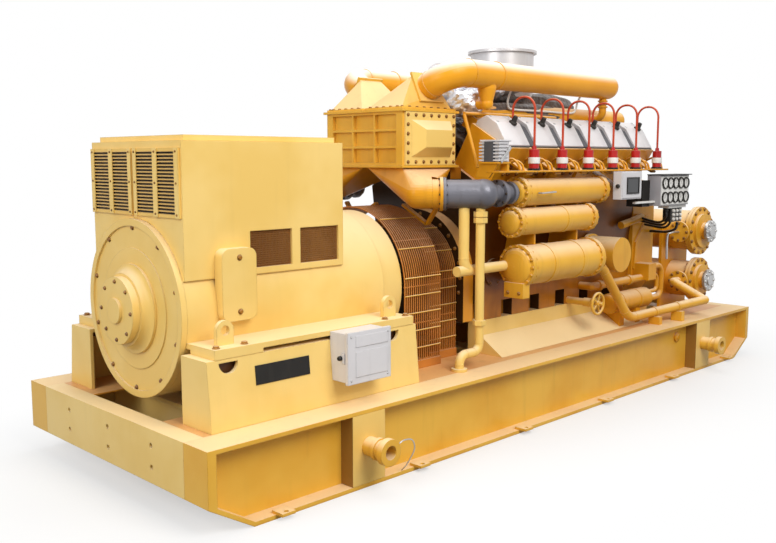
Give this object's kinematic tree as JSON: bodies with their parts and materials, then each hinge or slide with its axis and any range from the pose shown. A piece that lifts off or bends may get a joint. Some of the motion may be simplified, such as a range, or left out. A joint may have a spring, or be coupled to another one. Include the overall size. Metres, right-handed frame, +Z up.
{
  "type": "gas generator set",
  "caption": "Gas engine generator set: V engine and generator on a sled skid, with wire coupling guards, charge cooler, overhead charge pipes and end water coolers.",
  "frame": {"origin": "centre of the skid on the ground, under the middle of its length", "axes": "+X along the skid from the generator to the engine's free end, -Y the operator's side, +Z up"},
  "size_m": [5.12, 1.976, 2.275],
  "materials": {
    "enamel": "warm yellow enamel, satin, thick over castings and plate",
    "silver_paint": "bright silver paint over cast covers",
    "foil_wrap": "crumpled bright foil over heat wrap",
    "dark_lagging": "dark heat-stained lagging and castings",
    "dark_steel": "dark oiled steel",
    "coil_red": "moulded red with a pale band",
    "lead_orange": "silicone rubber sleeve",
    "grey_casting": "bare grey cast aluminium",
    "pale_box": "pale grey powder coat",
    "black_plate": "black, bare",
    "guard_wire": "thin yellow-brown paint over wire",
    "grille": "dull brown grille"
  },
  "bodies": {
    "root": {"side_beams": "enamel", "cross_members": "enamel", "deck_plates": "enamel", "hold_down_lugs": "enamel", "water_port_boxes": "enamel", "water_port_stubs": "enamel", "engine_bed": "enamel", "generator_pedestal": "enamel", "generator_frame": "enamel", "generator_end_plate": "enamel", "bearing_cover": "enamel", "air_hood": "enamel", "air_hood_lid": "enamel", "louvre_panels": "grille", "hood_screens": "grille", "terminal_covers": "enamel", "control_box": "pale_box", "bare_plate": "black_plate", "tall_guard": "guard_wire", "low_guard": "guard_wire", "coupling": "dark_steel", "flywheel_housing": "enamel", "crankcase": "enamel", "cylinder_heads": "enamel", "valve_covers": "silver_paint", "coil_rails": "enamel", "ignition_coils": "coil_red", "ignition_leads": "lead_orange", "intake_manifolds": "enamel", "exhaust_manifold": "dark_lagging", "turbochargers": "foil_wrap", "exhaust_stack": "foil_wrap", "charge_pipes": "enamel", "charge_cooler": "enamel", "charge_cooler_covers": "enamel", "charge_hoods": "enamel", "charge_plenum": "enamel", "charge_duct": "enamel", "gas_mixer": "grey_casting", "upper_vessel": "enamel", "filter_vessel": "enamel", "oil_cooler": "enamel", "vessel_cradles": "enamel", "gear_case": "enamel", "water_coolers": "enamel", "cooler_stand": "enamel", "cooler_pipe": "enamel", "controller_box": "pale_box", "gauge_panel": "pale_box", "gas_riser": "enamel", "priming_pump": "enamel", "lube_line": "enamel", "oil_centrifuge": "enamel", "ignition_module": "pale_box", "cooler_blanks": "silver_paint", "drain_valve": "enamel"},
    "valve_wheel": {"handwheel": "enamel"}
  },
  "joints": [
    {"name": "drain_valve_turn", "type": "hinge", "parent": "root", "child": "valve_wheel", "pos_m": [0.6, -0.665, 0.61], "axis": [0, -1, 0], "range_deg": [0, 1080]}
  ]
}
